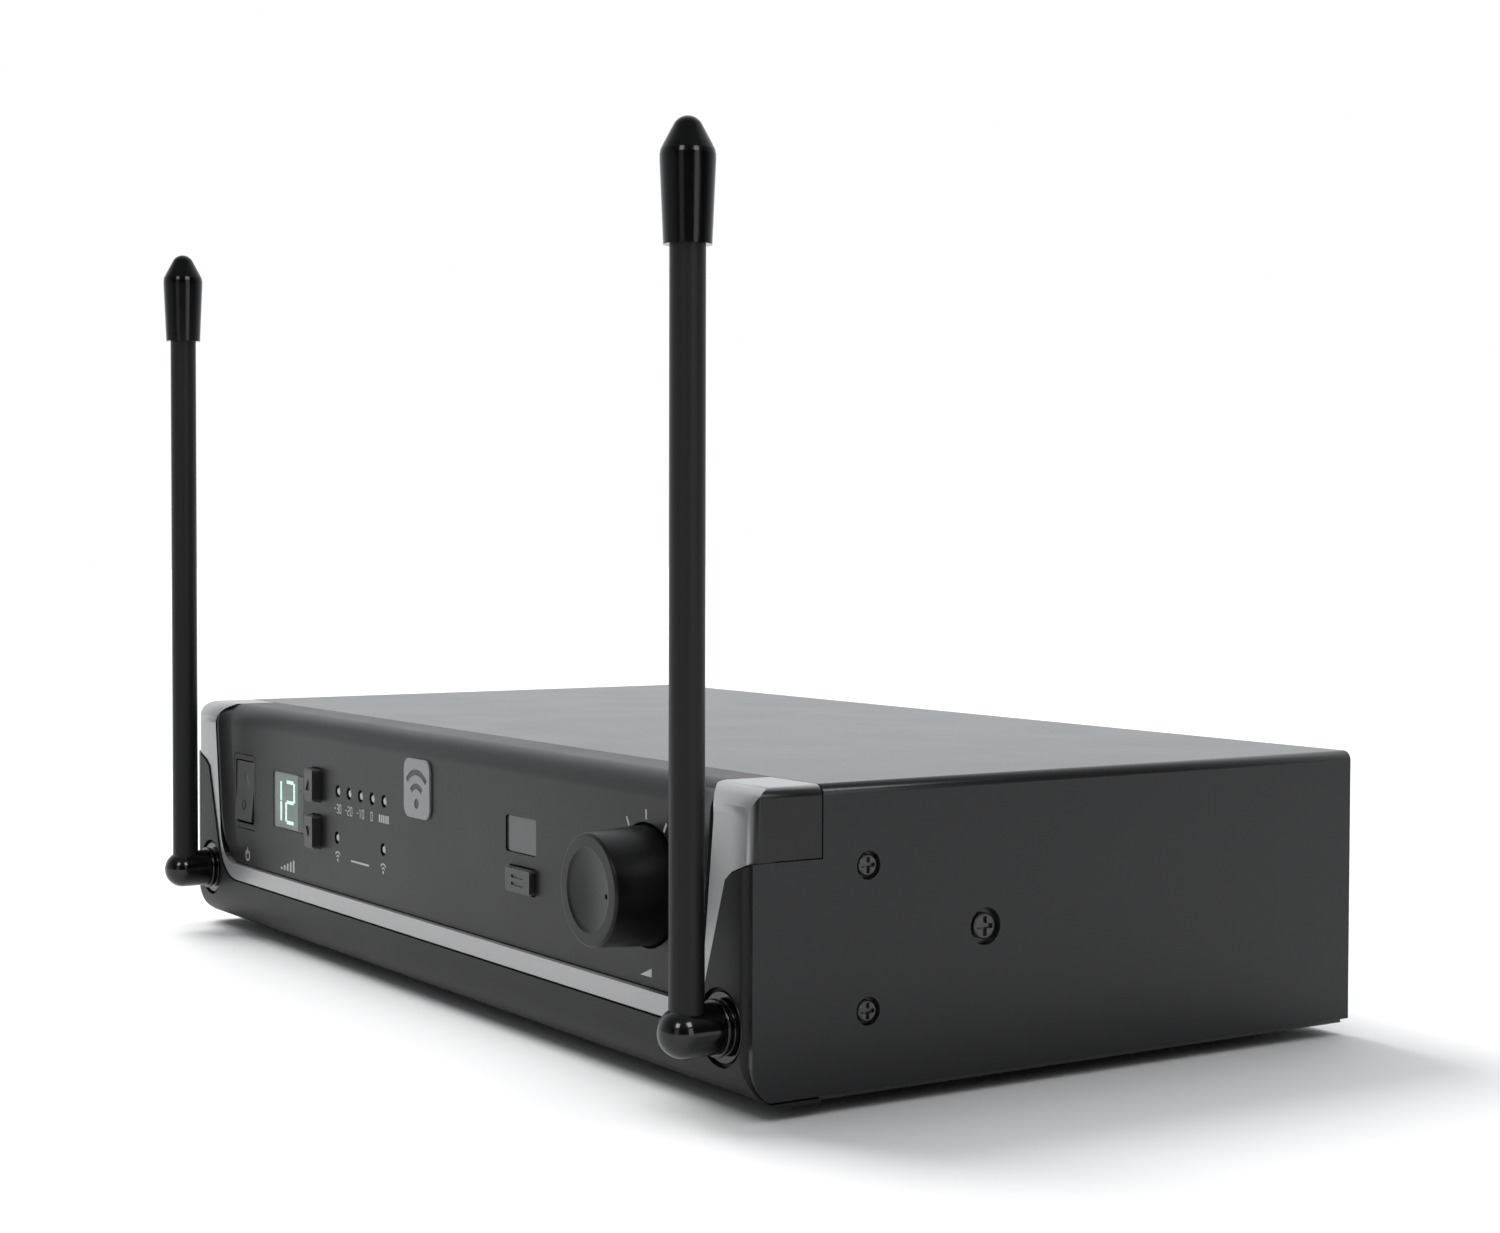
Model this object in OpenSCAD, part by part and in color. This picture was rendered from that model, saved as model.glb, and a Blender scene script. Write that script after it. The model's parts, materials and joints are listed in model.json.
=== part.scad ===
// Half-rack wireless microphone receiver: sheet-metal case, moulded front, two swivel antennas.
// Case frame used inside the modules: X across, Y back from the bezel's front face, Z up from its underside.

/* [Case] */
// Width over the steel cover
case_w = 211; // [205:1:220]
// Depth from the bezel's front face to the cover's rear edge
case_d = 115; // [112:1:135]
// Height from the bezel's underside to the top
case_h = 44; // [43:0.5:46]
// Thickness of the sheet steel
sheet_t = 1; // [0.8:0.1:1.2]
// Outside radius of the cover's long bends
bend_r = 1.5; // [1.2:0.1:2]
// Height of the rubber feet below the case
foot_h = 1.8; // [1:0.2:4]
// Radius of the rubber feet
foot_r = 6; // [4:0.5:7]

/* [Front] */
// Depth of the moulded front
front_d = 11.7; // [11:0.1:13]
// Radius of the chin, from the front face to the underside
chin_r = 6; // [4:0.5:8]
// Radius of the roll from the front face to the top
brow_r = 4; // [3:0.5:4.5]
// How far the fascia lies behind the bezel's face
fascia_y = 1.3; // [0.8:0.1:1.6]
// How far the accent trim lies behind the bezel's face
trim_y = 0.3; // [0.1:0.1:0.6]
// Height of the accent band's upper edge
band_top = 12.3; // [12:0.1:13]
// Height of the accent band's lower edge
band_bottom = 9.2; // [9:0.1:10]
// Gap between neighbouring front mouldings
seam = 0.25; // [0.1:0.05:0.3]

/* [Controls] */
// Distance of the volume knob's axis from the middle
knob_x = 75.6; // [74:0.2:78]
// Height of the volume knob's axis
knob_z = 27.3; // [26:0.1:28]
// Radius of the knob at its skirt
knob_base_r = 8.9; // [8:0.1:9.2]
// Radius of the knob at its front
knob_front_r = 8.3; // [7.5:0.1:8.6]
// How far the knob stands in front of the bezel's face
knob_reach = 8.5; // [8:0.5:14]
// Travel of the push buttons
button_travel = 0.5; // [0.3:0.1:0.5]
// How far the buttons stand in front of the fascia
button_reach = 1.7; // [1.2:0.1:3]
// Tilt of the power rocker to each side
rocker_tilt = 3; // [2:1:6]

/* [Antennas] */
// Distance of each antenna's swivel axis from the middle
antenna_x = 97.8; // [96:0.1:99]
// Height of the swivel axes
antenna_z = 10.3; // [9:0.1:11]
// How far the whips stand in front of the bezel's face
whip_y = 5.4; // [5:0.1:8]
// Radius of a whip
whip_r = 2.5; // [2:0.1:2.6]
// Height of the tips above the case's underside
tip_z = 135; // [110:1:160]
// Radius of the swivel barrels
barrel_r = 3.6; // [3.4:0.1:4]

/* [Rear connectors] */
// Distance of the balanced output from the middle
xlr_x = -62; // [-70:1:-50]
// Distance of the jack output from the middle
jack_x = -24; // [-30:1:-20]
// Distance of the supply socket from the middle
dc_x = 66; // [60:1:80]
// Distance of the level switch from the middle
level_x = 6; // [0:1:12]
// Distance of the squelch trimmer from the middle
squelch_x = 34; // [26:1:40]
// Travel of the level switch
level_travel = 3; // [2:0.5:4]

/* [Hidden] */
$fn = 48;

half_w = case_w / 2;
bore_gap = 0.05;                        // radial running clearance of shafts and pins
cover_gap = 0.1;                        // between the cover and what it slides over
cover_lift = 0.8;                       // the cover's sides end this far above the underside
tray_half = half_w - sheet_t - cover_gap;
panel_y = case_d - 0.6;                 // outer face of the rear panel
jack_nut_reach = 2.4;                   // how far the jack's nut stands behind the rear panel
cap_r = 3.85;                           // shoulder radius of the whips' end caps
flange_y = 0.3;                         // front of the bushing's rim, in a round recess of the bezel
whip_seat = 1.2;                        // a whip's lower end above the middle of its barrel
barrel_y = barrel_r + 2.4;              // centre of the barrel's dome, in front of the bezel's face
y_front = -max(knob_reach, barrel_y + barrel_r, whip_y + cap_r);
y_rear = panel_y + jack_nut_reach;
mid_y = (y_front + y_rear) / 2;

arm_t = 1.2;                            // arms and side walls behind the bezel's ring
inside_half = tray_half - sheet_t - cover_gap - arm_t;
ear_z = 34;                             // where the trim's ears end on the sides
plate_y = 3.9;                          // back of the fascia plate and of the trim's strip
ring_y = 6;                             // back of the bezel's inner ring
wall = 2;                               // walls of the front mouldings
inner_lean = 7;                         // lean of the fascia's sides from vertical, degrees
outer_lean = 18.9;                      // lean of the trim's outer edge from vertical, degrees
corner_end = 70;                        // where the fascia's top corner turns into a straight edge, degrees
edge_r = 1.6;                           // upright edges of the front
fascia_top_r = 4.5;
fascia_low_r = 6.8;
band_low_r = 9;

pcb_y = 12.4;                           // front face of the front circuit board
pcb_t = 1.6;
main_pcb_z = 6.8;                       // underside of the main circuit board
main_top = main_pcb_z + pcb_t;
ribbon_t = 0.9;
side_screw_y = 19.7;
side_screw_z = [11.8, 32.3];
cover_screw_y = 40.5;
cover_screw_z = 22;
button_x = -46;                         // middle of the two channel buttons
button_w = 4.1;
button_h = 6.2;
button_z = [22.85, 31.6];               // down, up
sync_x = 36.9;
sync_z = 23.4;
sync_w = 8.7;
sync_h = 4.1;
sync_reach = 1;                         // how far the sync button stands in front of the fascia
rocker_x = -82.2;
rocker_z = 27.1;
rocker_frame_w = 11.5;
rocker_frame_h = 14.8;
rocker_w = 8.9;
rocker_h = 11.8;
rocker_pivot_y = fascia_y + 2.6;
display_x = -59.75;
display_z = 27.1;
display_w = 14.8;
display_h = 10.8;
bar_w = 4;                              // width of a lit figure between the middles of its uprights
bar_h = 3.9;                            // height of one of its two storeys
bar_t = 0.65;                           // thickness of its bars
ir_x = 36.3;
ir_z = 30.5;
ir_w = 10.2;
ir_h = 5.7;
badge_x = -1.5;
badge_z = 34.7;
badge_w = 10.2;
led_r = 0.85;
led_hole_r = 1.15;                      // the lamps sit back in holes that are a little larger
level_led_x = [for (i = [0:4]) -36 + 5.07 * i];
level_led_z = 31.2;
antenna_led_x = [-36.4, -16.1];
antenna_led_z = 22.6;
well_r = knob_base_r + 0.35;
well_y = 3;                             // floor of the well that the knob's skirt enters
shaft_r = 3;
bushing_r = 3.5;
xlr_z = 22;
xlr_r = 11.8;
xlr_mouth_r = 8.2;
xlr_depth = 15;
xlr_pin_r = 1.2;
xlr_pin_circle = 4.4;
xlr_screw = [9.5, 12];                  // half spacing of the flange screws, across and up
jack_z = 20;
jack_r = 3.2;
jack_depth = 30;
dc_z = main_top + 6.6;
level_z = main_top + 3.6;
squelch_z = main_top + 5.4;
standoff_at = [[-90, 28], [90, 28], [-90, 104], [90, 104]];
foot_at = [[-86, 24], [86, 24], [-86, 100], [86, 100]];

// Places a child that is drawn in the case frame: the origin is below the middle, on the surface
module in_case() translate([0, -mid_y, foot_h]) children();

// Extrudes a front-view outline from y0 to y1
module along_y(y0, y1) translate([0, y1, 0]) rotate([90, 0, 0]) linear_extrude(y1 - y0) children();

// Extrudes a side-view outline from x0 to x1
module along_x(x0, x1) translate([x0, 0, 0]) rotate([90, 0, 90]) linear_extrude(x1 - x0) children();

// A cylinder along Y from y0 to y1
module rod_y(x, z, r, y0, y1, r2 = -1)
    translate([x, y0, z]) rotate([-90, 0, 0]) cylinder(h = y1 - y0, r1 = r, r2 = r2 < 0 ? r : r2);

// A box given by its middle in X and Z and by its two ends in Y
module box_y(x, z, w, h, y0, y1) translate([x - w / 2, y0, z - h / 2]) cube([w, y1 - y0, h]);

module both_sides() {
    children();
    mirror([1, 0, 0]) children();
}

function arc(cx, cy, r, a0, a1, n = 8) =
    [for (i = [0:n]) let (a = a0 + (a1 - a0) * i / n) [cx + r * cos(a), cy + r * sin(a)]];
function flip(points) = [for (i = [len(points) - 1:-1:0]) [-points[i][0], points[i][1]]];

// Side view of the moulded front: front face at y0, a chin radius below and a brow radius above
module side_outline(y0, chin, brow, back) {
    translate([y0, chin]) square([back - y0, case_h - chin - brow]);
    translate([y0 + chin, 0]) square([back - y0 - chin, chin + 1]);
    translate([y0 + brow, case_h - brow - 1]) square([back - y0 - brow, brow + 1]);
    translate([y0 + chin, chin]) circle(chin);
    translate([y0 + brow, case_h - brow]) circle(brow);
}

// Front view of the whole case, with the cover's bends at the top
module front_outline(half, z0, bend) {
    translate([-half, z0]) square([2 * half, case_h - bend - z0]);
    translate([-half + bend, case_h - bend - 1]) square([2 * (half - bend), bend + 1]);
    for (s = [-1, 1]) translate([s * (half - bend), case_h - bend]) circle(bend);
}

// Front view of the fascia, smaller all round by g
inner_c = 96.2 * cos(inner_lean) - 44 * sin(inner_lean);
function inner_x(z, in) = (inner_c - in + z * sin(inner_lean)) / cos(inner_lean);
module fascia_outline(g = 0) {
    low = [inner_x(band_top + fascia_low_r, fascia_low_r), band_top + fascia_low_r];
    top = [inner_x(case_h - fascia_top_r, fascia_top_r), case_h - fascia_top_r];
    right = concat(arc(low[0], low[1], fascia_low_r - g, -90, -inner_lean),
        arc(top[0], top[1], fascia_top_r - g, -inner_lean, corner_end),
        [[top[0] + fascia_top_r * cos(corner_end) - g, case_h + 1]]);
    polygon(concat(right, flip(right)));
}

// Front view of all that lies inside the trim's outer edge, larger all round by g
function outer_x(z, g) = 88.1 + z * tan(outer_lean) + g / cos(outer_lean);
module trim_outline(g = 0) {
    turn_z = band_bottom - g + band_low_r;
    turn_x = outer_x(turn_z, g) - band_low_r / cos(outer_lean);
    right = concat(arc(turn_x, turn_z, band_low_r, -90, -outer_lean),
        [[outer_x(31, g), 31 - g / 2], [outer_x(32.2, g) + 1.2, 32.2 - g], [half_w - 1.5, ear_z - 0.5 - g],
         [half_w + 1, ear_z - g], [half_w + 1, case_h + 1]]);
    polygon(concat(right, flip(right)));
}

// Plan view of the front, with its rounded upright edges
module plan_outline(half, y0) {
    translate([-half, y0 + edge_r]) square([2 * half, front_d - y0 - edge_r]);
    translate([-half + edge_r, y0]) square([2 * (half - edge_r), edge_r + 1]);
    for (s = [-1, 1]) translate([s * (half - edge_r), y0 + edge_r]) circle(edge_r);
}

// The solid that every front moulding is cut from
module front_block(y0, z0 = 0, half = half_w, bend = bend_r) intersection() {
    along_x(-half, half) side_outline(y0, chin_r, brow_r, front_d);
    along_y(-1, front_d) front_outline(half, z0, bend);
    translate([0, 0, -1]) linear_extrude(case_h + 2) plan_outline(half, y0);
}

module rounded_rect(w, h, r) {
    square([w - 2 * r, h], center = true);
    square([w, h - 2 * r], center = true);
    for (sx = [-1, 1], sy = [-1, 1]) translate([sx * (w / 2 - r), sy * (h / 2 - r)]) circle(r);
}

module rounded_box_y(x, z, w, h, r, y0, y1) translate([x, 0, z]) along_y(y0, y1) rounded_rect(w, h, r);

// Cross recess of a screw, cut into a head whose face looks along -Z
module cross_slot(size, depth) for (a = [0, 90]) rotate([0, 0, a])
    translate([-size / 2, -size / 8, -0.01]) cube([size, size / 4, depth]);

// Screw along +Z from its head's face
module screw(head_r, shank_r, length) difference() {
    union() {
        cylinder(h = 0.2, r1 = head_r - 0.2, r2 = head_r);
        translate([0, 0, 0.2]) cylinder(h = 0.6, r = head_r);
        translate([0, 0, 0.8]) cylinder(h = length - 0.8, r = shank_r);
    }
    cross_slot(1.5 * head_r, 0.5);
}

// ---- Case ----

module top_cover() color("#5b6066") in_case() difference() {
    intersection() {
        along_x(-half_w, half_w) side_outline(trim_y + 0.1, chin_r, brow_r, case_d);
        along_y(0, case_d) front_outline(half_w, cover_lift, bend_r);
    }
    translate([-half_w + sheet_t, -1, -1]) cube([case_w - 2 * sheet_t, case_d + 2, case_h + 1 - sheet_t]);
    translate([-half_w - 1, -1, ear_z - seam]) cube([case_w + 2, front_d + seam + 1, case_h]);
    both_sides() {
        for (z = side_screw_z) translate([half_w - sheet_t - 0.5, side_screw_y, z])
            rotate([0, 90, 0]) cylinder(h = sheet_t + 1, r = 2);
        translate([half_w - sheet_t - 0.5, cover_screw_y, cover_screw_z])
            rotate([0, 90, 0]) cylinder(h = sheet_t + 1, r = 2.7);
    }
}

module base_tray() color("#4b4f54") in_case() difference() {
    union() {
        translate([-tray_half, front_d + seam, 0]) cube([2 * tray_half, panel_y - front_d - seam, sheet_t]);
        both_sides() translate([tray_half - sheet_t, front_d + seam, 0])
            cube([sheet_t, panel_y - front_d - seam, case_h - 3]);
        translate([-tray_half, panel_y - sheet_t, 0])
            cube([2 * tray_half, sheet_t, case_h - sheet_t - cover_gap]);
    }
    both_sides() {
        for (z = side_screw_z) translate([tray_half - 2 * sheet_t, side_screw_y, z])
            rotate([0, 90, 0]) cylinder(h = 3 * sheet_t, r = 1.2 + bore_gap);
        translate([tray_half - 2 * sheet_t, cover_screw_y, cover_screw_z])
            rotate([0, 90, 0]) cylinder(h = 3 * sheet_t, r = 1.5 + bore_gap);
    }
    rod_y(xlr_x, xlr_z, xlr_r + 0.2, panel_y - 2, panel_y + 1);
    for (s = [-1, 1]) rod_y(xlr_x + s * xlr_screw[0], xlr_z + s * xlr_screw[1], 1.5 + bore_gap,
        panel_y - 2, panel_y + 1);
    rod_y(jack_x, jack_z, 4.7, panel_y - 2, panel_y + 1);
    rod_y(dc_x, dc_z, 4.2, panel_y - 2, panel_y + 1);
    box_y(level_x, level_z, 8.4, 3.6, panel_y - 2, panel_y + 1);
    rod_y(squelch_x, squelch_z, 3.1, panel_y - 2, panel_y + 1);
}

module feet() color("#1b1b1c") in_case() for (p = foot_at) translate([p[0], p[1], -foot_h]) {
    cylinder(h = 0.5, r1 = foot_r - 0.5, r2 = foot_r);
    translate([0, 0, 0.5]) cylinder(h = foot_h - 0.5, r = foot_r);
}

module front_side_screws() color("#26282b") in_case() both_sides() for (z = side_screw_z)
    translate([half_w - 0.2, side_screw_y, z]) rotate([0, -90, 0]) screw(1.55, 1.2, 6);

module cover_side_screws() color("#26282b") in_case() both_sides()
    translate([half_w - 0.2, cover_screw_y, cover_screw_z]) rotate([0, -90, 0]) screw(1.9, 1.5, 6);

// ---- Front mouldings ----

module bezel_frame() color("#3c3d3f") in_case() difference() {
    union() {
        front_block(0, 0, tray_half, bend_r);
        // lip under the cover's sides
        intersection() {
            along_x(-half_w, half_w) side_outline(0, chin_r, brow_r, front_d);
            translate([-half_w, 2, 0]) cube([case_w, front_d - 2, cover_lift - seam]);
        }
        // arms that the front side screws hold
        both_sides() translate([inside_half, ring_y, side_screw_z[0] - 4])
            cube([arm_t, side_screw_y + 4 - ring_y, side_screw_z[1] - side_screw_z[0] + 6]);
    }
    along_y(-1, plate_y + 0.05) trim_outline(seam);
    translate([-half_w - 1, plate_y - 1, ear_z - 0.2]) cube([case_w + 2, front_d, case_h]);
    // pocket behind the ring and behind the chin
    translate([-inside_half, ring_y, wall]) cube([2 * inside_half, front_d, case_h]);
    translate([-90, 3.4, wall]) cube([180, front_d, 5.6]);
    rounded_box_y(0, 28, 180, 27, 4, plate_y - 1, ring_y + 1);
    both_sides() {
        rod_y(antenna_x, antenna_z, 3.1, -1, ring_y + 1);
        rod_y(antenna_x, antenna_z, 5.6, -1, flange_y + 0.6);
        for (z = side_screw_z) translate([tray_half - 6, side_screw_y, z])
            rotate([0, 90, 0]) cylinder(h = 8, r = 1.2 + bore_gap);
    }
}

module accent_trim() color("#c9cbcd") in_case() difference() {
    intersection() {
        front_block(trim_y);
        along_y(-1, front_d) trim_outline(0);
    }
    along_y(-1, front_d + 1) fascia_outline(0);
    translate([-half_w + wall, plate_y, -1]) cube([case_w - 2 * wall, front_d, case_h + 1 - wall]);
    translate([-half_w - 1, plate_y, -1]) cube([case_w + 2, front_d, ear_z + 0.9]);
}

module front_fascia() color("#47484b") in_case() difference() {
    intersection() {
        front_block(fascia_y);
        along_y(-1, front_d) fascia_outline(seam);
    }
    translate([-half_w, plate_y, -1]) cube([case_w, front_d, case_h + 1 - wall]);
    rounded_box_y(rocker_x, rocker_z, rocker_frame_w + 0.2, rocker_frame_h + 0.2, 1.1, 0, 5);
    rounded_box_y(display_x, display_z, display_w + 0.2, display_h + 0.2, 0.6, 0, 5);
    rounded_box_y(ir_x, ir_z, ir_w + 0.2, ir_h + 0.2, 0.6, 0, 5);
    for (z = button_z) rounded_box_y(button_x, z, button_w + 0.4, button_h + 0.4, 0.6, 0, 5);
    rounded_box_y(sync_x, sync_z, sync_w + 0.4, sync_h + 0.4, 0.6, 0, 5);
    for (x = level_led_x) rod_y(x, level_led_z, led_hole_r, 0, 5);
    for (x = antenna_led_x) rod_y(x, antenna_led_z, led_hole_r, 0, 5);
    rod_y(knob_x, knob_z, well_r, 0, well_y);
    rod_y(knob_x, knob_z, bushing_r + 0.1, 0, 5);
}

// Thin plate with a plain radio-wave sign: a dot and two arcs
module badge_plate() color("#b4b6b8") in_case() difference() {
    rounded_box_y(badge_x, badge_z, badge_w, badge_w, 2, fascia_y - 0.4, fascia_y);
    rod_y(badge_x, badge_z - 2.6, 0.9, fascia_y - 1, fascia_y - 0.2);
    for (r = [3, 5.4]) intersection() {
        difference() {
            rod_y(badge_x, badge_z - 2.6, r + 0.5, fascia_y - 1, fascia_y - 0.2);
            rod_y(badge_x, badge_z - 2.6, r - 0.5, fascia_y - 2, fascia_y);
        }
        translate([badge_x, 0, badge_z - 2.6]) along_y(fascia_y - 1, fascia_y - 0.2)
            polygon([[0, 0], [7, 7], [-7, 7]]);
    }
}

// ---- Display, lamps and windows ----

module display_window() color("#7f8a80") in_case()
    rounded_box_y(display_x, display_z, display_w, display_h, 0.5, fascia_y + 0.05, fascia_y + 0.3);

module display_module() color("#20242a") in_case()
    box_y(display_x, display_z, display_w, display_h, fascia_y + 0.45, pcb_y);

// A lit figure from its lower left: level bars by storey, uprights by [side, storey]
module figure(levels, uprights) {
    for (l = levels) translate([bar_t / 2 + 0.1, bar_h * l - bar_t / 2]) square([bar_w - bar_t - 0.2, bar_t]);
    for (u = uprights) translate([bar_w * u[0] - bar_t / 2, bar_h * u[1] + 0.1]) square([bar_t, bar_h - 0.2]);
}

module display_segments() color("#e8fff4") in_case()
    for (f = [[-67.9, [], [[1, 0], [1, 1]]], [-61.4, [0, 1, 2], [[0, 0], [1, 1]]]])
        translate([f[0], 0, display_z - 0.2 - bar_h])
            along_y(fascia_y + 0.32, fascia_y + 0.45) figure(f[1], f[2]);

module ir_window() color("#5a5c60") in_case()
    rounded_box_y(ir_x, ir_z, ir_w, ir_h, 0.5, fascia_y + 0.3, plate_y);

module lamp(x, z) {
    rod_y(x, z, led_r - 0.3, fascia_y + 0.15, fascia_y + 0.4, led_r);
    rod_y(x, z, led_r, fascia_y + 0.4, pcb_y);
}

module level_leds() color("#d5d8d6") in_case() for (x = level_led_x) lamp(x, level_led_z);

module antenna_leds() color("#d5d8d6") in_case() for (x = antenna_led_x) lamp(x, antenna_led_z);

// ---- Power rocker ----

module rocker_frame() color("#242527") in_case() difference() {
    rounded_box_y(rocker_x, rocker_z, rocker_frame_w, rocker_frame_h, 1, fascia_y, 7.4);
    rounded_box_y(rocker_x, rocker_z, rocker_w + 0.5, rocker_h + 0.8, 0.3, 0, 8);
    translate([rocker_x - 10, rocker_pivot_y, rocker_z]) rotate([0, 90, 0])
        cylinder(h = 20, r = 0.8 + bore_gap);
}

module rocker_switch_body() color("#2e2f31") in_case()
    box_y(rocker_x, rocker_z, 10, 12.8, 7.5, pcb_y);

// Two shallow facets that meet at the middle, on a bar with two pins
module power_rocker() color("#303134") in_case()
    translate([rocker_x, rocker_pivot_y, rocker_z]) rotate([-rocker_tilt, 0, 0]) difference() {
        union() {
            along_x(-rocker_w / 2, rocker_w / 2)
                polygon([[-2.75, -rocker_h / 2], [-2.5, 0], [-2.75, rocker_h / 2], [1.6, rocker_h / 2],
                         [2.6, 2], [2.6, -2], [1.6, -rocker_h / 2]]);
            translate([-rocker_w / 2 - 1.1, 0, 0]) rotate([0, 90, 0]) cylinder(h = rocker_w + 2.2, r = 0.8);
        }
        translate([-0.15, -3.5, 1.9]) cube([0.3, 1, 1.8]);
        translate([0, -2.4, -2.8]) rotate([90, 0, 0]) difference() {
            cylinder(h = 1, r = 1);
            cylinder(h = 1, r = 0.7);
        }
    }

// ---- Push buttons ----

// A cap with a lower flange that the fascia holds, and a stem that reaches its switch
module push_button(x, z, w, h, reach) {
    rounded_box_y(x, z, w - 0.4, h - 0.4, 0.3, fascia_y - reach, fascia_y - reach + 0.3);
    rounded_box_y(x, z, w, h, 0.5, fascia_y - reach + 0.3, plate_y + 0.1);
    box_y(x, z, w + 1.6, h + 1.2, plate_y + 0.1, plate_y + 1);
    box_y(x, z, 2.4, 2.4, plate_y + 1, 7.7);
}

// A cut arrow that points up (1) or down (-1)
module arrow(x, z, up) translate([x, 0, z])
    along_y(fascia_y - button_reach - 1, fascia_y - button_reach + 0.25)
        polygon([[-1.2, -1 * up], [1.2, -1 * up], [0, 1.1 * up]]);

module channel_up_button() color("#38393c") in_case() difference() {
    push_button(button_x, button_z[1], button_w, button_h, button_reach);
    arrow(button_x, button_z[1], 1);
}

module channel_down_button() color("#38393c") in_case() difference() {
    push_button(button_x, button_z[0], button_w, button_h, button_reach);
    arrow(button_x, button_z[0], -1);
}

// The sync button carries two plain bars in place of a word
module sync_button() color("#38393c") in_case() difference() {
    push_button(sync_x, sync_z, sync_w, sync_h, sync_reach);
    for (s = [-1, 1]) box_y(sync_x, sync_z + s * 0.6, 4, 0.5, fascia_y - sync_reach - 1,
        fascia_y - sync_reach + 0.2);
}

module tact_switches() color("#55585c") in_case()
    for (p = [[button_x, button_z[0]], [button_x, button_z[1]], [sync_x, sync_z]]) {
        box_y(p[0], p[1], 6, 6, 9.2, pcb_y);
        rod_y(p[0], p[1], 1.6, 7.7 + button_travel + 0.05, 9.2);
    }

// ---- Volume control ----

module volume_knob() color("#2b2c2e") in_case() translate([knob_x, 0, knob_z]) rotate([90, 0, 0]) {
    base = -(well_y - 0.8);
    difference() {
        rotate_extrude($fn = 96) polygon(concat(
            [[shaft_r + 0.01, 1.5], [6.9, 1.5], [7.6, 0.8], [7.6, base], [knob_base_r, base]],
            arc(knob_front_r - 0.5, knob_reach - 0.5, 0.5, 4, 90, 6),
            [[6.2, knob_reach]],
            [for (i = [0:6]) [5.9 - 5.9 * i / 6, knob_reach - 0.2 - 0.6 * sin(15 * i)]],
            [[0, knob_reach - 3], [shaft_r + 0.01, knob_reach - 3]]));
        translate([4.8, -0.4, knob_reach - 0.9]) cylinder(h = 1, r = 0.4);
    }
}

module pot_shaft() color("#8d9092") in_case() difference() {
    rod_y(knob_x, knob_z, shaft_r, 3.1 - knob_reach, 6);
    box_y(knob_x, knob_z, 10, 0.8, 3 - knob_reach, 0);
}

module pot_body() color("#6d7174") in_case() difference() {
    union() {
        box_y(knob_x, knob_z - 1, 16, 17, plate_y + 0.2, pcb_y);
        rod_y(knob_x, knob_z, bushing_r, 0.4, plate_y + 0.3);
    }
    rod_y(knob_x, knob_z, shaft_r + bore_gap, 0, 6.2);
}

module pot_nut() color("#a4a7a9") in_case() translate([knob_x, 0, knob_z]) difference() {
    translate([0, well_y, 0]) rotate([90, 0, 0]) cylinder(h = 2, r = 5.6, $fn = 6);
    rod_y(0, 0, bushing_r + 0.02, 0, 5);
}

// ---- Boards and their parts ----

module front_pcb() color("#1f5a3a") in_case() box_y(0, 22.5, 186, 33, pcb_y, pcb_y + pcb_t);

module main_pcb() color("#1f5a3a") in_case() difference() {
    translate([-97, 20, main_pcb_z]) cube([194, 90, pcb_t]);
    for (p = standoff_at) translate([p[0], p[1], main_pcb_z - 1]) cylinder(h = 4, r = 1.25 + bore_gap);
}

module standoffs() color("#a9acae") in_case() for (p = standoff_at) translate([p[0], p[1], sheet_t])
    difference() {
        cylinder(h = main_pcb_z - sheet_t, r = 3, $fn = 6);
        translate([0, 0, 2]) cylinder(h = 10, r = 1.25 + bore_gap);
    }

module pcb_screws() color("#7d8083") in_case() for (p = standoff_at)
    translate([p[0], p[1], main_top + 0.8]) mirror([0, 0, 1]) screw(2.2, 1.25, 5.5);

// Tin can over one tuner: thin walls, open below, with a row of round vents on top
module tuner_shield(x) color("#b9bcbe") in_case() difference() {
    translate([x - 24, 34, main_top]) cube([48, 50, 12]);
    translate([x - 23.5, 34.5, main_top - 1]) cube([47, 49, 12.5]);
    for (i = [-2:2]) translate([x + 8 * i, 59, main_top + 10]) cylinder(h = 4, r = 1.5);
}

module tuner_shield_left() tuner_shield(-56);

module tuner_shield_right() tuner_shield(56);

module heat_sink() color("#9a9da0") in_case() {
    translate([22, 92, main_top]) cube([26, 3, 16]);
    for (i = [0:5]) translate([22 + 4.9 * i, 88, main_top]) cube([1.5, 4, 16]);
}

module capacitors() color("#33363b") in_case() for (p = [[-10, 34], [-10, 48], [8, 34], [8, 48], [56, 94]])
    translate([p[0], p[1], main_top]) {
        cylinder(h = 0.8, r = 4.8);
        translate([0, 0, 0.8]) cylinder(h = 11, r = 5);
    }

// Quarter ring in a side view, centred on the corner's middle
module bend(r_in, r_out, a) rotate(a) intersection() {
    difference() {
        circle(r_out);
        circle(r_in);
    }
    square(2 * r_out);
}

// Flat ribbon: out of the front board, down, and forward again onto the main board's edge
module ribbon_cable() color("#8f9296") in_case() along_x(-24, 2) {
    drop = 20 - main_top - 6;
    translate([pcb_y + pcb_t, 20 - ribbon_t]) square([3, ribbon_t]);
    translate([pcb_y + pcb_t + 3, 17]) bend(3 - ribbon_t, 3, 0);
    translate([pcb_y + pcb_t + 6 - ribbon_t, 17 - drop]) square([ribbon_t, drop]);
    translate([pcb_y + pcb_t + 9 - ribbon_t, 17 - drop]) bend(3 - ribbon_t, 3, 180);
    translate([pcb_y + pcb_t + 9 - ribbon_t, main_top]) square([4, ribbon_t]);
}

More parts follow.
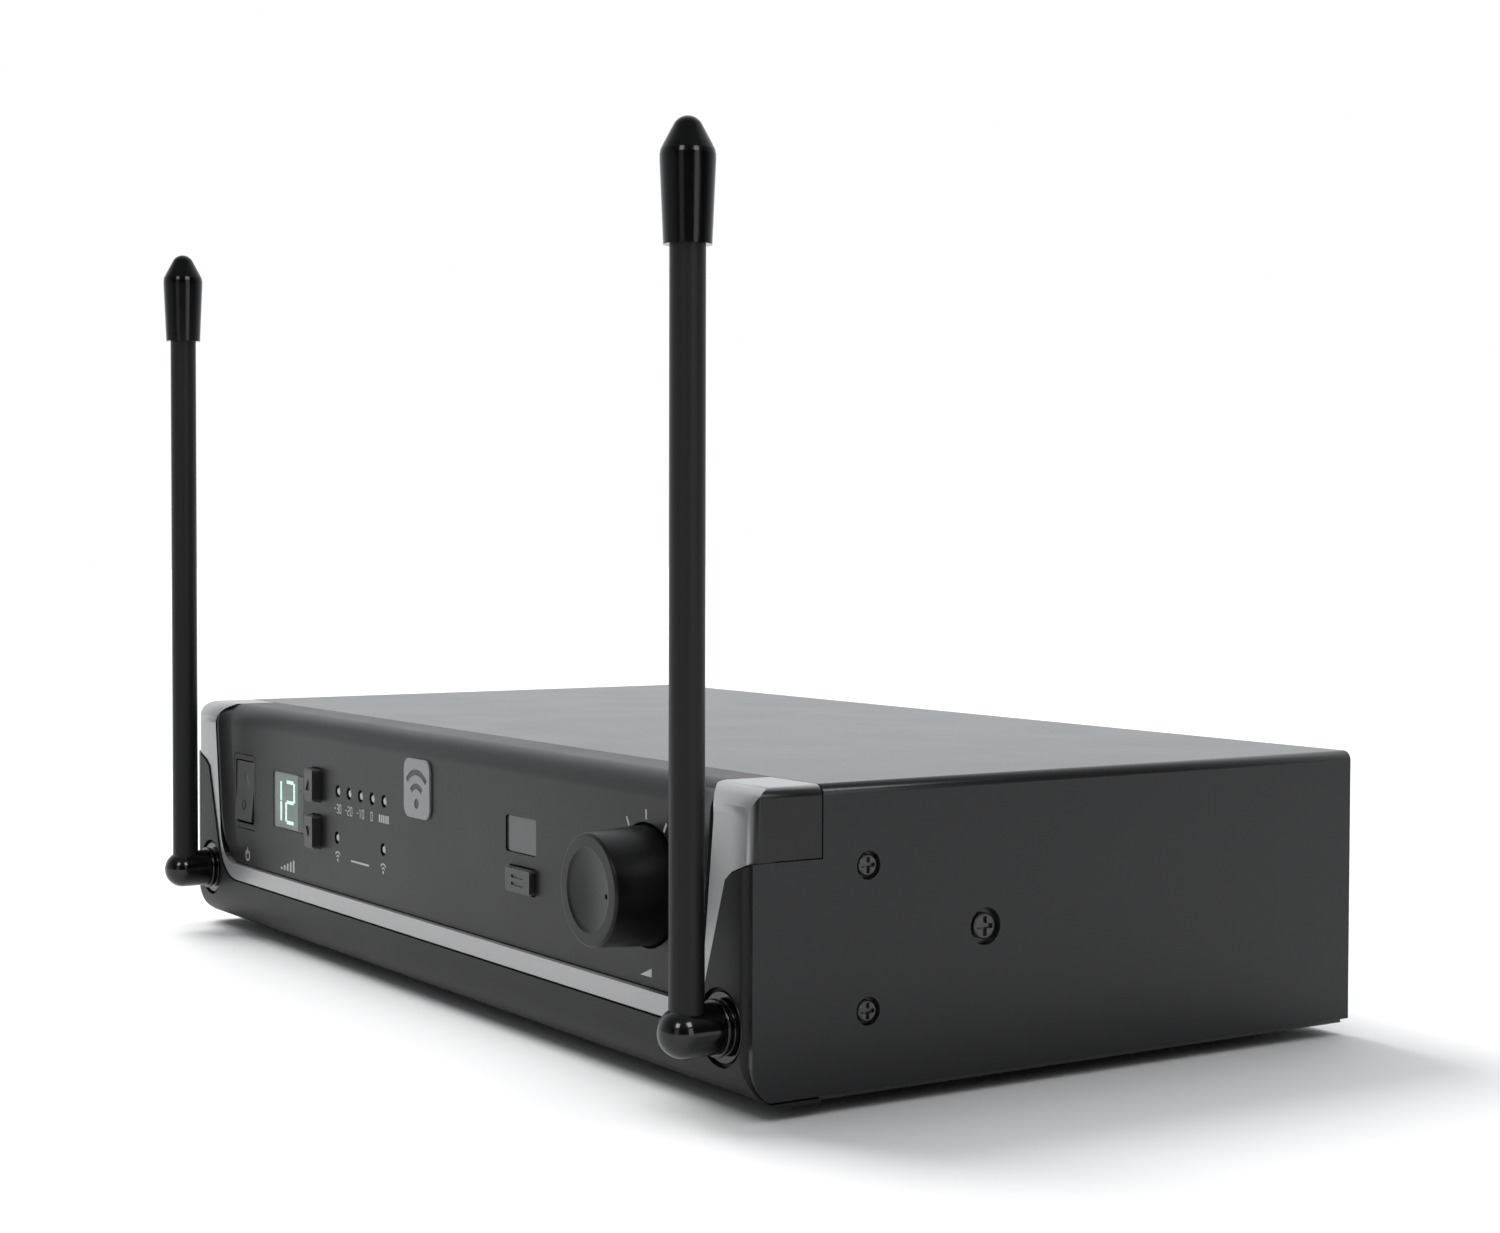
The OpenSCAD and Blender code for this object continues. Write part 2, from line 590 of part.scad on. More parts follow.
// Path of the right antenna's lead: straight back from the bushing, round a bend, in to the tuner's can
function lead_path() = concat([for (i = [0:6]) [antenna_x, 9.6 + 22.4 * i / 6]],
    [for (a = [15:15:90]) [antenna_x - 8 + 8 * cos(a), 32 + 8 * sin(a)]],
    [for (i = [1:3]) [antenna_x - 8 - (antenna_x - 88.05) * i / 3, 40]]);

// Eight-sided tube along a level path of points
module level_tube(path, z, r) {
    last = len(path) - 1;
    function heading(i) = let (d = path[min(i + 1, last)] - path[max(i - 1, 0)]) d / norm(d);
    rings = [for (i = [0:last], k = [0:7]) let (t = heading(i))
        [path[i][0] + r * cos(45 * k) * t[1], path[i][1] - r * cos(45 * k) * t[0], z + r * sin(45 * k)]];
    sides = [for (i = [0:last - 1], k = [0:7])
        [8 * i + k, 8 * i + (k + 1) % 8, 8 * i + 8 + (k + 1) % 8, 8 * i + 8 + k]];
    polyhedron(rings, concat(sides, [[for (k = [7:-1:0]) k], [for (k = [0:7]) 8 * last + k]]));
}

module antenna_lead(s) color("#3a3b3d") in_case()
    mirror([s < 0 ? 1 : 0, 0, 0]) level_tube(lead_path(), antenna_z, 0.7);

module antenna_lead_left() antenna_lead(-1);

module antenna_lead_right() antenna_lead(1);

// ---- Rear connectors ----

// Flanged chassis plug housing: open mouth at the back, closed towards the board
module xlr_shell() color("#2a2b2d") in_case() difference() {
    union() {
        rounded_box_y(xlr_x, xlr_z, 26, 31, 3, panel_y, panel_y + 1.6);
        rod_y(xlr_x, xlr_z, xlr_r, panel_y - 19, panel_y + 1.6);
    }
    rod_y(xlr_x, xlr_z, xlr_mouth_r, panel_y + 1.6 - xlr_depth, panel_y + 3);
    for (i = [0:2])
        rod_y(xlr_x + xlr_pin_circle * cos(30 + 120 * i), xlr_z + xlr_pin_circle * sin(30 + 120 * i),
            xlr_pin_r + 0.02, panel_y - 20, panel_y - 10);
    for (s = [-1, 1])
        rod_y(xlr_x + s * xlr_screw[0], xlr_z + s * xlr_screw[1], 1.6, panel_y - 1, panel_y + 3);
}

module xlr_pins() color("#c8b26a") in_case() for (i = [0:2])
    rod_y(xlr_x + xlr_pin_circle * cos(30 + 120 * i), xlr_z + xlr_pin_circle * sin(30 + 120 * i),
        xlr_pin_r, panel_y - 20, panel_y - 1);

module xlr_screws() color("#26282b") in_case() for (s = [-1, 1])
    translate([xlr_x + s * xlr_screw[0], panel_y + 2.2, xlr_z + s * xlr_screw[1]]) rotate([90, 0, 0])
        difference() {
            union() {
                cylinder(h = 0.6, r = 2.4);
                cylinder(h = 6, r = 1.45);
            }
            cross_slot(3, 0.4);
        }

module jack_body() color("#2d2e30") in_case() difference() {
    union() {
        translate([jack_x - 8, panel_y - sheet_t - 32, main_top]) cube([16, 32, jack_z + 8 - main_top]);
        rod_y(jack_x, jack_z, 4.5, panel_y - sheet_t - 0.1, panel_y + jack_nut_reach - 0.4);
    }
    rod_y(jack_x, jack_z, jack_r, panel_y + jack_nut_reach - 0.4 - jack_depth, panel_y + 5);
}

module jack_nut() color("#8c8f92") in_case() translate([jack_x, 0, jack_z]) difference() {
    translate([0, panel_y + jack_nut_reach, 0]) rotate([90, 0, 0])
        cylinder(h = jack_nut_reach, r = 7, $fn = 6);
    rod_y(0, 0, 4.52, panel_y - 1, panel_y + 5);
}

module dc_socket() color("#1d1e20") in_case() difference() {
    union() {
        translate([dc_x - 4.5, panel_y - sheet_t - 13, main_top]) cube([9, 13, 11.4]);
        rod_y(dc_x, dc_z, 4, panel_y - sheet_t - 0.1, panel_y + 0.4);
    }
    rod_y(dc_x, dc_z, 2.8, panel_y - 9.6, panel_y + 1);
    rod_y(dc_x, dc_z, 1.07, panel_y - 12, panel_y - 9);
}

module dc_socket_pin() color("#c2c4c6") in_case() rod_y(dc_x, dc_z, 1.05, panel_y - 12, panel_y - 0.6);

module level_switch_body() color("#3b3d40") in_case() difference() {
    translate([level_x - 7, panel_y - sheet_t - 5.5, main_top]) cube([14, 5.5, 7]);
    box_y(level_x, level_z, 3 + level_travel + 0.4, 2.4, panel_y - sheet_t - 3.5, panel_y);
}

// The lever rests at its left stop
module level_switch_slider() color("#17181a") in_case()
    box_y(level_x - level_travel / 2, level_z, 3, 2, panel_y - sheet_t - 3.3, panel_y + 1.4);

module squelch_body() color("#3f6ea5") in_case() difference() {
    translate([squelch_x - 5, panel_y - sheet_t - 7, main_top]) cube([10, 7, 10.4]);
    rod_y(squelch_x, squelch_z, 2.5 + bore_gap, panel_y - sheet_t - 4, panel_y);
}

module squelch_rotor() color("#d9d4c6") in_case() difference() {
    rod_y(squelch_x, squelch_z, 2.5, panel_y - sheet_t - 3.9, panel_y - 0.5);
    box_y(squelch_x, squelch_z, 4.2, 0.7, panel_y - 1.3, panel_y);
}

// ---- Antennas ----

// Threaded bushing with two rims at the front; its nut holds it behind the bezel's ring
module antenna_bushing(s) color("#222325") in_case() difference() {
    union() {
        rod_y(s * antenna_x, antenna_z, 4.1, flange_y - 1.4, flange_y - 0.7);
        rod_y(s * antenna_x, antenna_z, 3.7, flange_y - 0.7, flange_y);
        rod_y(s * antenna_x, antenna_z, 5.05, flange_y, flange_y + 0.6);
        rod_y(s * antenna_x, antenna_z, 3, flange_y + 0.6, 9);
    }
    rod_y(s * antenna_x, antenna_z, 2.2 + bore_gap, -3, 10);
}

module antenna_bushing_left() antenna_bushing(-1);

module antenna_bushing_right() antenna_bushing(1);

module antenna_nuts() color("#a4a7a9") in_case() both_sides() translate([antenna_x, 0, antenna_z])
    difference() {
        translate([0, ring_y + 2, 0]) rotate([90, 0, 0]) rotate([0, 0, 30]) cylinder(h = 2, r = 4.1, $fn = 6);
        rod_y(0, 0, 3.02, 0, 10);
    }

// Domed barrel with the stem that turns in the bushing and the seat for the whip
module antenna_barrel(s) color("#111213") in_case() translate([s * antenna_x, 0, antenna_z]) difference() {
    union() {
        translate([0, -barrel_y, 0]) sphere(barrel_r);
        rod_y(0, 0, barrel_r, -barrel_y, flange_y - 1.45);
        rod_y(0, 0, 2.2, flange_y - 1.5, 9.3);
    }
    translate([0, -whip_y, whip_seat]) cylinder(h = 5, r = whip_r + 0.02);
}

module antenna_barrel_left() antenna_barrel(-1);

module antenna_barrel_right() antenna_barrel(1);

module antenna_whip(s) color("#333436") in_case()
    translate([s * antenna_x, -whip_y, antenna_z + whip_seat])
        cylinder(h = tip_z - 5 - antenna_z - whip_seat, r = whip_r);

module antenna_whip_left() antenna_whip(-1);

module antenna_whip_right() antenna_whip(1);

// Moulded end cap: it widens towards a shoulder and ends in a blunt cone
module antenna_cap(s) color("#0d0e0f") in_case() translate([s * antenna_x, -whip_y, 0])
    rotate_extrude($fn = 64) polygon(concat(
        [[whip_r + 0.02, tip_z - 17.4], [3.35, tip_z - 17.4], [cap_r, tip_z - 6],
         [cap_r, tip_z - 5.2], [cap_r - 0.12, tip_z - 4.6], [cap_r - 0.5, tip_z - 3.8], [1.9, tip_z - 1.1]],
        arc(0, tip_z - 2.2, 2.2, 30, 90, 6),
        [[0, tip_z - 4.9], [whip_r + 0.02, tip_z - 4.9]]));

module antenna_cap_left() antenna_cap(-1);

module antenna_cap_right() antenna_cap(1);

top_cover();
base_tray();
bezel_frame();
accent_trim();
front_fascia();
badge_plate();
display_window();
display_module();
display_segments();
ir_window();
level_leds();
antenna_leds();
rocker_frame();
rocker_switch_body();
power_rocker();
front_pcb();
main_pcb();
tact_switches();
channel_up_button();
channel_down_button();
sync_button();
pot_body();
pot_nut();
pot_shaft();
volume_knob();
tuner_shield_left();
tuner_shield_right();
ribbon_cable();
antenna_lead_left();
antenna_lead_right();
xlr_shell();
xlr_pins();
xlr_screws();
jack_body();
jack_nut();
dc_socket();
dc_socket_pin();
level_switch_body();
level_switch_slider();
squelch_body();
squelch_rotor();
heat_sink();
capacitors();
standoffs();
pcb_screws();
front_side_screws();
cover_side_screws();
feet();
antenna_bushing_left();
antenna_bushing_right();
antenna_nuts();
antenna_barrel_left();
antenna_barrel_right();
antenna_whip_left();
antenna_whip_right();
antenna_cap_left();
antenna_cap_right();
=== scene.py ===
import json
import math

import bmesh
import bpy
from mathutils import Matrix, Vector


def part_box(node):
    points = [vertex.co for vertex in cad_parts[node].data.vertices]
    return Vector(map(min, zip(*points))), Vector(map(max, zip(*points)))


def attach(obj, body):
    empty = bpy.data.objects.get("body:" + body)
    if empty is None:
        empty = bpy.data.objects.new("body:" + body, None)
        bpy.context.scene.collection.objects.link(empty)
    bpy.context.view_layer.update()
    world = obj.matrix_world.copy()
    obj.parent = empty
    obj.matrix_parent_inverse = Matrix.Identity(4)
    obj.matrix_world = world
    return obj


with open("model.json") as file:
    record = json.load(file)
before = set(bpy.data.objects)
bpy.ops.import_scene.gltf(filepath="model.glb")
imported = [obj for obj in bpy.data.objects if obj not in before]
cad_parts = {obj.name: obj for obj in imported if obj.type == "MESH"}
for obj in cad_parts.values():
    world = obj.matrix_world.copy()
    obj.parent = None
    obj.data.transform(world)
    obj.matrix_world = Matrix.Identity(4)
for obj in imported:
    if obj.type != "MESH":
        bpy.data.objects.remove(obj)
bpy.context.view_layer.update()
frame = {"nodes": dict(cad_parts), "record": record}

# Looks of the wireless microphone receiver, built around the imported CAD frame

MM = 0.001

nodes = frame["nodes"]

# Case frame in millimetres: X across, Y back from the bezel's face, Z up from the case's underside
CASE_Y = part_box("bezel_frame")[0].y
CASE_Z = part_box("bezel_frame")[0].z
FASCIA_Y = (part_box("front_fascia")[0].y - CASE_Y) / MM
TRIM_Y = (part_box("accent_trim")[0].y - CASE_Y) / MM
CASE_H = (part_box("top_cover")[1].z - CASE_Z) / MM
KNOB = sum(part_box("volume_knob"), Vector()) / 2
KNOB_X, KNOB_Z = KNOB.x / MM, (KNOB.z - CASE_Z) / MM


def at(x, y, z):
    """A point of the case frame, in metres in the row's frame."""
    return Vector((x * MM, CASE_Y + y * MM, CASE_Z + z * MM))


# ---------------------------------------------------------------- shader nodes

def node_of(tree, kind, **values):
    """A new shader node with some of its properties set."""
    node = tree.nodes.new(kind)
    for key, value in values.items():
        setattr(node, key, value)
    return node


def map_range(tree, source, low, high, to_low, to_high, **values):
    """Maps a source socket's span to another span, and gives the socket of the result."""
    node = node_of(tree, "ShaderNodeMapRange", **values)
    for socket, value in zip(("From Min", "From Max", "To Min", "To Max"),
                             (low, high, to_low, to_high)):
        node.inputs[socket].default_value = value
    tree.links.new(source, node.inputs["Value"])
    return node.outputs["Result"]


# ---------------------------------------------------------------- camera, floor and light

CAMERA_AZ, CAMERA_EL, CAMERA_ROLL = (math.radians(a) for a in (57.0017, 1.7885, 0.1421))
CAMERA_PLACE = (380.424, -178.717, 77.561)      # in the case frame
LENS, SENSOR = 58.456, 36               # millimetres
NEAR = 0.01                             # metres
FLOOR_HALF = 6.0                        # metres
FLOOR_COLOUR, FLOOR_ROUGH = (0.9, 0.9, 0.9), 0.8

# Light of the surroundings: (direction, dot from, dot to, level from, level to), added together
SKY = (((-0.75, 0.6, 0.1), -0.2, 0.95, 0.04, 1.0),
       ((0, 0, 1), 0.2, 0.9, 0.0, 0.25),
       ((-0.5, -0.6, -0.3), 0.4, 0.95, 0.0, 0.5))
SKY_COLOUR = (0.94, 0.98, 1)

# Broad lights: (name, direction it comes from, power, width in degrees)
KEYS = (("key", (-0.72, -0.12, 0.67), 3.0, 36),
        ("top", (0, 0.1, 1), 0.9, 80))

# Lights for the highlights: (name, place in the case frame, size in metres, power)
PANELS = (("box_right", (1500, 160, 1250), (0.6, 0.6), 11),
          ("box_front", (900, -1300, 1250), (0.5, 0.6), 9),
          ("strip_right", (1500, 160, 300), (0.5, 0.7), 2.4),
          ("strip_front", (900, -1300, 300), (0.5, 0.7), 0.8))
PANEL_AIM = (100, 0, 60)                # in the case frame


def look_axes(az, el):
    """Right, up and back of a camera that looks from an azimuth and an elevation."""
    back = Vector((math.sin(az) * math.cos(el), -math.cos(az) * math.cos(el), math.sin(el)))
    right = Vector((math.cos(az), math.sin(az), 0))
    return right, back.cross(right), back


def add_camera():
    data = bpy.data.cameras.new("camera")
    data.sensor_width = SENSOR
    data.lens = LENS
    data.clip_start = NEAR
    right, up, back = look_axes(CAMERA_AZ, CAMERA_EL)
    turned = Matrix.Rotation(CAMERA_ROLL, 3, back)
    axes = Matrix((turned @ right, turned @ up, back)).transposed()
    camera = bpy.data.objects.new("camera", data)
    camera.matrix_world = Matrix.Translation(at(*CAMERA_PLACE)) @ axes.to_4x4()
    bpy.context.scene.collection.objects.link(camera)
    bpy.context.scene.camera = camera


def add_panel(name, place, target, size, power):
    """A rectangular light that only shows as a highlight on glossy surfaces."""
    data = bpy.data.lights.new(name, "AREA")
    data.shape = "RECTANGLE"
    data.size, data.size_y = size
    data.energy = power
    light = bpy.data.objects.new(name, data)
    light.location = place
    light.rotation_euler = (Vector(target) - Vector(place)).to_track_quat("-Z", "Y").to_euler()
    light.visible_diffuse = False
    bpy.context.scene.collection.objects.link(light)


def add_key(name, direction, power, spread):
    """A broad, soft light from one side; spread is its width in degrees."""
    data = bpy.data.lights.new(name, "SUN")
    data.energy = power
    data.angle = math.radians(spread)
    light = bpy.data.objects.new(name, data)
    light.rotation_euler = Vector(direction).to_track_quat("Z", "Y").to_euler()
    light.visible_glossy = False
    bpy.context.scene.collection.objects.link(light)


def add_world():
    """Plain white to the camera; as a light it comes mostly from the left and from behind."""
    world = bpy.data.worlds.new("studio")
    bpy.context.scene.world = world
    world.use_nodes = True
    tree = world.node_tree
    glow = tree.nodes["Background"]
    seen = node_of(tree, "ShaderNodeBackground")
    seen.inputs["Color"].default_value = (1, 1, 1, 1)
    seen.inputs["Strength"].default_value = 1
    place = node_of(tree, "ShaderNodeTexCoord")
    level = None
    for direction, low, high, dim, bright in SKY:
        dot = node_of(tree, "ShaderNodeVectorMath", operation="DOT_PRODUCT")
        dot.inputs[1].default_value = Vector(direction).normalized()
        tree.links.new(place.outputs["Generated"], dot.inputs[0])
        part = map_range(tree, dot.outputs["Value"], low, high, dim, bright,
                         interpolation_type="SMOOTHSTEP")
        if level is None:
            level = part
            continue
        both = node_of(tree, "ShaderNodeMath", operation="ADD")
        tree.links.new(level, both.inputs[0])
        tree.links.new(part, both.inputs[1])
        level = both.outputs[0]
    tree.links.new(level, glow.inputs["Strength"])
    glow.inputs["Color"].default_value = (*SKY_COLOUR, 1)
    path = node_of(tree, "ShaderNodeLightPath")
    mix = node_of(tree, "ShaderNodeMixShader")
    tree.links.new(path.outputs["Is Camera Ray"], mix.inputs["Fac"])
    tree.links.new(glow.outputs["Background"], mix.inputs[1])
    tree.links.new(seen.outputs["Background"], mix.inputs[2])
    tree.links.new(mix.outputs["Shader"], tree.nodes["World Output"].inputs["Surface"])


def add_floor():
    mesh = bpy.data.meshes.new("floor")
    s = FLOOR_HALF
    mesh.from_pydata([(-s, -s, 0), (s, -s, 0), (s, s, 0), (-s, s, 0)], [], [(0, 1, 2, 3)])
    floor = bpy.data.objects.new("floor", mesh)
    bpy.context.scene.collection.objects.link(floor)
    material = bpy.data.materials.new("floor")
    material.use_nodes = True
    shader = material.node_tree.nodes["Principled BSDF"]
    shader.inputs["Base Color"].default_value = (*FLOOR_COLOUR, 1)
    shader.inputs["Roughness"].default_value = FLOOR_ROUGH
    mesh.materials.append(material)


# ---------------------------------------------------------------- materials

GRAIN_DETAIL = 3
MOTTLE_SCALE, MOTTLE_DETAIL = 45, 5     # of the broad noise
NOISE_SPAN = (0.3, 0.7)                 # the part of the noise that is spread out
LEAST_ROUGH = 0.02
PAINTED_SHADE_SPAN = (0.25, 0.80)                # sideways share of the normal over which the silver gives way to painted shade


def surface(name, colour, rough, grain=0.0006, relief=0.00004, mottle=0.12, rough_swing=0.08,
            metallic=0.0, specular=0.5, stretch=(1, 1, 1)):
    """A moulded, painted or plated surface, whose colour and gloss wander a little.

    grain is the width and relief the depth of its fine grain, in metres.
    """
    material = bpy.data.materials.new(name)
    material.use_nodes = True
    tree = material.node_tree
    shader = tree.nodes["Principled BSDF"]
    shader.inputs["Metallic"].default_value = metallic
    shader.inputs["Specular IOR Level"].default_value = specular
    place = node_of(tree, "ShaderNodeTexCoord")
    mapping = node_of(tree, "ShaderNodeMapping")
    mapping.inputs["Scale"].default_value = stretch
    tree.links.new(place.outputs["Object"], mapping.inputs["Vector"])

    fine = node_of(tree, "ShaderNodeTexNoise")
    fine.inputs["Scale"].default_value = 1 / grain
    fine.inputs["Detail"].default_value = GRAIN_DETAIL
    broad = node_of(tree, "ShaderNodeTexNoise")
    broad.inputs["Scale"].default_value = MOTTLE_SCALE
    broad.inputs["Detail"].default_value = MOTTLE_DETAIL
    for noise in (fine, broad):
        tree.links.new(mapping.outputs["Vector"], noise.inputs["Vector"])

    both = node_of(tree, "ShaderNodeMix", data_type="FLOAT")
    both.inputs[0].default_value = 0.5
    tree.links.new(broad.outputs["Fac"], both.inputs[2])
    tree.links.new(fine.outputs["Fac"], both.inputs[3])

    ramp = node_of(tree, "ShaderNodeValToRGB")
    for stop, position, change in zip(ramp.color_ramp.elements, NOISE_SPAN, (-mottle, mottle)):
        stop.position = position
        stop.color = (*[min(1, c * (1 + change)) for c in colour], 1)
    tree.links.new(both.outputs[0], ramp.inputs["Fac"])
    tree.links.new(ramp.outputs["Color"], shader.inputs["Base Color"])

    gloss = map_range(tree, both.outputs[0], *NOISE_SPAN,
                      max(LEAST_ROUGH, rough - rough_swing), min(1, rough + rough_swing))
    tree.links.new(gloss, shader.inputs["Roughness"])

    bump = node_of(tree, "ShaderNodeBump")
    bump.inputs["Strength"].default_value = 1
    bump.inputs["Distance"].default_value = relief
    tree.links.new(fine.outputs["Fac"], bump.inputs["Height"])
    tree.links.new(bump.outputs["Normal"], shader.inputs["Normal"])
    return material


def lit(name, colour, strength):
    """A surface that glows in its own colour."""
    material = surface(name, colour, 0.4, grain=0.0004, relief=0.00001)
    shader = material.node_tree.nodes["Principled BSDF"]
    shader.inputs["Emission Color"].default_value = (*colour, 1)
    shader.inputs["Emission Strength"].default_value = strength
    return material


def silver_with_painted_side_shade(name, front, side):
    """Silver paint on what faces forward and up; what faces sideways, away from the light, is coloured
    dark as painted shade.
    """
    material = surface(name, front, 0.30, grain=0.0003, relief=0.0000008, mottle=0.03,
                       rough_swing=0.02, metallic=0.4)
    tree = material.node_tree
    shader = tree.nodes["Principled BSDF"]
    paint = shader.inputs["Base Color"].links[0].from_socket
    place = node_of(tree, "ShaderNodeTexCoord")
    apart = node_of(tree, "ShaderNodeSeparateXYZ")
    size = node_of(tree, "ShaderNodeMath", operation="ABSOLUTE")
    mix = node_of(tree, "ShaderNodeMix", data_type="RGBA")     # its colours are sockets 6 and 7
    # side is a painted shade colour for the faces that turn sideways, away from the light
    mix.inputs[7].default_value = (*side, 1)
    tree.links.new(place.outputs["Normal"], apart.inputs["Vector"])
    tree.links.new(apart.outputs["X"], size.inputs[0])
    # the blend from the silver to the painted shade follows how far the surface faces sideways
    turn = map_range(tree, size.outputs[0], *PAINTED_SHADE_SPAN, 0, 1, interpolation_type="SMOOTHSTEP")
    tree.links.new(turn, mix.inputs[0])
    tree.links.new(paint, mix.inputs[6])
    tree.links.new(mix.outputs[2], shader.inputs["Base Color"])
    return material


def clear(name):
    """A clear moulded pane with a faint wave in it."""
    material = surface(name, (0.80, 0.86, 0.83), 0.05, grain=0.003, relief=0.000005, mottle=0.02,
                       rough_swing=0.02)
    shader = material.node_tree.nodes["Principled BSDF"]
    shader.inputs["Transmission Weight"].default_value = 1
    shader.inputs["IOR"].default_value = 1.15
    return material


def make_materials():
    """The materials by slot, with those of the pieces that are made here."""
    plastic = dict(grain=0.0005, relief=0.000012, mottle=0.06, rough_swing=0.04)
    steel = dict(grain=0.0006, relief=0.000003, mottle=0.05, rough_swing=0.02)
    gloss = dict(grain=0.0006, relief=0.000003, mottle=0.06, rough_swing=0.03)
    return {
        "cover_steel": surface("powder_coat", (0.0145, 0.0152, 0.0165), 0.25, specular=0.3,
                               **steel),
        "tray_steel": surface("tray_coat", (0.020, 0.021, 0.022), 0.32, specular=0.45, **steel),
        "bezel_plastic": surface("bezel_moulding", (0.011, 0.011, 0.0115), 0.48, specular=0.22,
                                 **plastic),
        # the second colour is painted shade on the trim's sideways faces, not a second paint
        "accent_silver": silver_with_painted_side_shade("silver_paint_and_painted_side_shade", (0.35, 0.35, 0.355), (0.012, 0.012, 0.0125)),
        "fascia_plastic": surface("fascia_moulding", (0.0105, 0.0105, 0.011), 0.38,
                                  specular=0.23, **plastic),
        "badge_grey": surface("badge_enamel", (0.20, 0.20, 0.205), 0.35, **plastic),
        "display_glass": clear("display_pane"),
        "display_lit": lit("display_figures", (0.80, 1.0, 0.92), 0.65),
        "display_panel": lit("display_backing", (0.09, 0.112, 0.104), 0.40),
        "display_margin": surface("display_edge", (0.012, 0.022, 0.020), 0.5, specular=0.1,
                                  **gloss),
        "mark_ink": surface("printed_mark", (0.42, 0.42, 0.42), 0.5, **gloss),
        "badge_ink": surface("badge_mark", (0.012, 0.012, 0.012), 0.4, **gloss),
        "ir_plastic": surface("ir_pane", (0.048, 0.048, 0.049), 0.22, **gloss),
        "lamp_clear": surface("lamp_lens", (0.34, 0.35, 0.34), 0.25, **gloss),
        "dark_plastic": surface("dark_moulding", (0.008, 0.008, 0.0085), 0.45, specular=0.35,
                                **plastic),
        "rocker_plastic": surface("rocker_moulding", (0.014, 0.014, 0.0145), 0.38, **plastic),
        "button_plastic": surface("button_moulding", (0.016, 0.016, 0.0165), 0.38, **plastic),
        "knob_rubber": surface("knob_moulding", (0.0025, 0.0025, 0.0026), 0.36, specular=0.23,
                               **plastic),
        "board_green": surface("solder_mask", (0.01, 0.09, 0.04), 0.3, grain=0.001, relief=0.00002),
        "zinc_grey": surface("cast_zinc", (0.35, 0.35, 0.36), 0.4, metallic=1, **plastic),
        "nickel": surface("nickel_plate", (0.62, 0.60, 0.57), 0.25, metallic=1, **gloss),
        "tinplate": surface("tinned_sheet", (0.60, 0.61, 0.62), 0.35, metallic=1,
                            stretch=(1, 12, 1)),
        "ribbon_grey": surface("ribbon_jacket", (0.30, 0.31, 0.33), 0.5, stretch=(10, 1, 1)),
        "lead_black": surface("lead_jacket", (0.015, 0.015, 0.016), 0.45),
        "connector_black": surface("connector_moulding", (0.010, 0.010, 0.011), 0.4, **plastic),
        "contact_gold": surface("gold_plate", (0.80, 0.58, 0.25), 0.2, metallic=1, **gloss),
        "screw_black": surface("black_zinc", (0.065, 0.065, 0.067), 0.30, metallic=0.7, **gloss),
        "trimmer_blue": surface("trimmer_body", (0.02, 0.09, 0.35), 0.3, **plastic),
        "trimmer_white": surface("trimmer_rotor", (0.70, 0.67, 0.58), 0.45, **plastic),
        "sink_aluminium": surface("anodised_fins", (0.45, 0.46, 0.47), 0.35, metallic=1,
                                  stretch=(1, 1, 8)),
        "capacitor_sleeve": surface("sleeve", (0.015, 0.015, 0.03), 0.3, **gloss),
        "foot_rubber": surface("foot_moulding", (0.010, 0.010, 0.010), 0.75, grain=0.0008,
                               relief=0.00005),
        "barrel_black": surface("barrel_moulding", (0.0016, 0.0016, 0.0018), 0.14, specular=0.45,
                                **gloss),
        "whip_rubber": surface("whip_jacket", (0.010, 0.010, 0.0105), 0.42, specular=0.2,
                               **plastic),
        "cap_black": surface("cap_moulding", (0.0014, 0.0014, 0.0016), 0.15, specular=0.25,
                             **gloss),
    }


# ---------------------------------------------------------------- CAD nodes

# Hard edges that are rounded in the picture: (node, width in millimetres)
SOFT_EDGES = (("accent_trim", 0.45), ("top_cover", 0.25), ("volume_knob", 0.3),
              ("channel_up_button", 0.25), ("channel_down_button", 0.25), ("sync_button", 0.25),
              ("rocker_frame", 0.12), ("power_rocker", 0.2), ("badge_plate", 0.1),
              ("antenna_bushing_left", 0.2), ("antenna_bushing_right", 0.2),
              ("xlr_shell", 0.25), ("base_tray", 0.1), ("feet", 0.2))
EDGE_SEGMENTS = 2
EDGE_ANGLE = math.radians(32)           # sharper bends than this are rounded
WELD = 0.000004                         # metres


def soften(node, width):
    """Rounds the hard edges of a CAD node in the picture; its mesh stays as it is."""
    obj = nodes[node]
    weld = obj.modifiers.new("weld", "WELD")
    weld.merge_threshold = WELD
    bevel = obj.modifiers.new("bevel", "BEVEL")
    bevel.width = width * MM
    bevel.segments = EDGE_SEGMENTS
    bevel.limit_method = "ANGLE"
    bevel.angle_limit = EDGE_ANGLE
    bevel.harden_normals = True


def dress_cad(materials):
    """Gives every CAD node the material of its slot, and rounds the edges that show."""
    for entry in frame["record"]["subparts"]:
        obj = nodes[entry["node"]]
        obj.data.materials.clear()
        obj.data.materials.append(materials[entry["material_slot"]])
    for node, width in SOFT_EDGES:
        soften(node, width)


# ---------------------------------------------------------------- new pieces

def make(name, points, faces, material, body="chassis", slot=None, smooth=False):
    """A new piece from case-frame points in millimetres."""
    mesh = bpy.data.meshes.new(name)
    mesh.from_pydata([at(*p) for p in points], [], faces)
    mesh.validate()
    shell = bmesh.new()
    shell.from_mesh(mesh)
    bmesh.ops.recalc_face_normals(shell, faces=shell.faces)
    shell.to_mesh(mesh)
    shell.free()
    if smooth:
        mesh.shade_smooth()
    mesh.materials.append(material)
    obj = bpy.data.objects.new(name, mesh)
    bpy.context.scene.collection.objects.link(obj)
    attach(obj, body)


